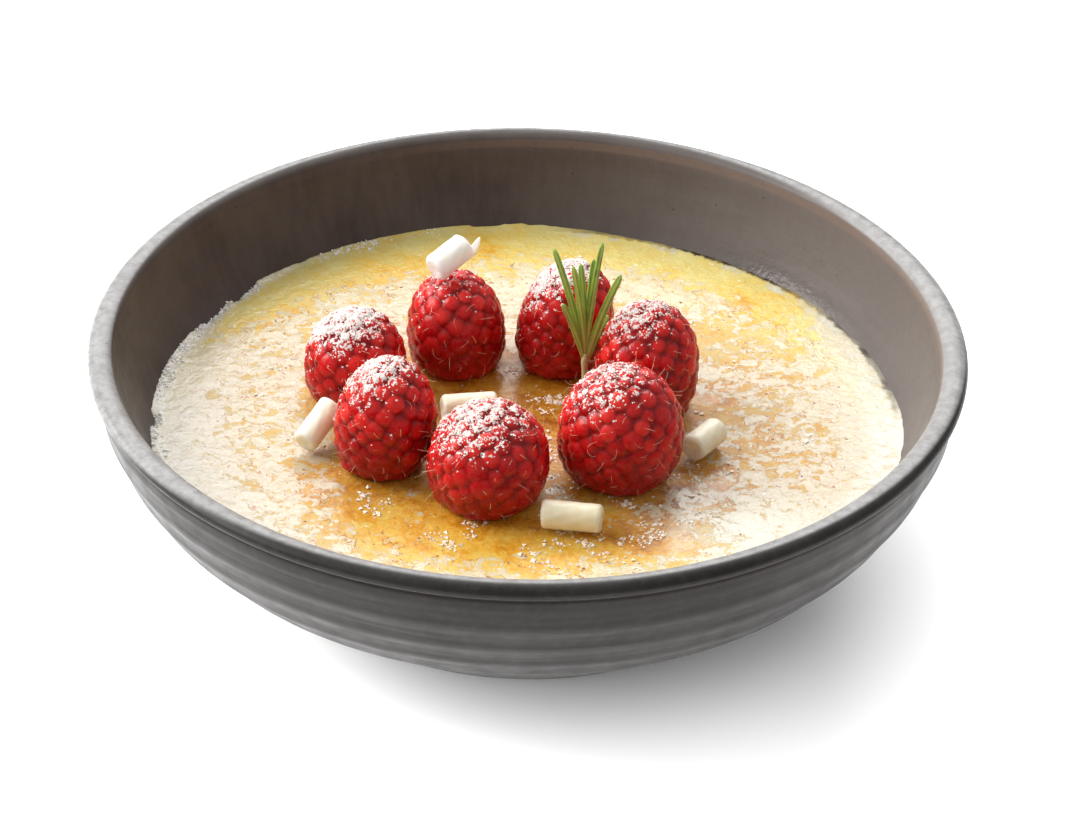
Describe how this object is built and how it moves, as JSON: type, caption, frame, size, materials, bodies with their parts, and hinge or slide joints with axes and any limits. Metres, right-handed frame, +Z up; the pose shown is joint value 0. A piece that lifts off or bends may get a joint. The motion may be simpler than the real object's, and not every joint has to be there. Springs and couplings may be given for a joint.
{
  "type": "creme brulee",
  "caption": "Round stoneware bowl of set custard with a caramelised top, a ring of raspberries, white chocolate curls and a sprig of rosemary.",
  "frame": {"origin": "on the surface that the bowl stands on, at the centre of its foot ring", "axes": "+Z up; +X to the right and -Y to the front as the bowl is shown"},
  "size_m": [0.16, 0.16, 0.0671],
  "materials": {
    "stoneware": "satin warm grey glaze, darker inside, that breaks to copper brown at the rim's edges, with faint throwing rings and fine specks",
    "custard": "glossy, finely bubbled burnt sugar over pale yellow custard, amber to brown where it is most caramelised",
    "raspberry": "deep red translucent drupelets with fine hairs and icing sugar on top",
    "white_chocolate": "smooth ivory, slightly translucent",
    "rosemary": "matt grey-green leaves, paler at the midrib and edges, on a pale green stem"
  },
  "bodies": {
    "root": {"bowl": "stoneware", "custard": "custard", "raspberry_1": "raspberry", "raspberry_2": "raspberry", "raspberry_3": "raspberry", "raspberry_4": "raspberry", "raspberry_5": "raspberry", "raspberry_6": "raspberry", "raspberry_7": "raspberry", "chocolate_curl_1": "white_chocolate", "chocolate_curl_2": "white_chocolate", "chocolate_curl_3": "white_chocolate", "chocolate_curl_4": "white_chocolate", "chocolate_curl_5": "white_chocolate", "rosemary_sprig": "rosemary"}
  },
  "joints": []
}
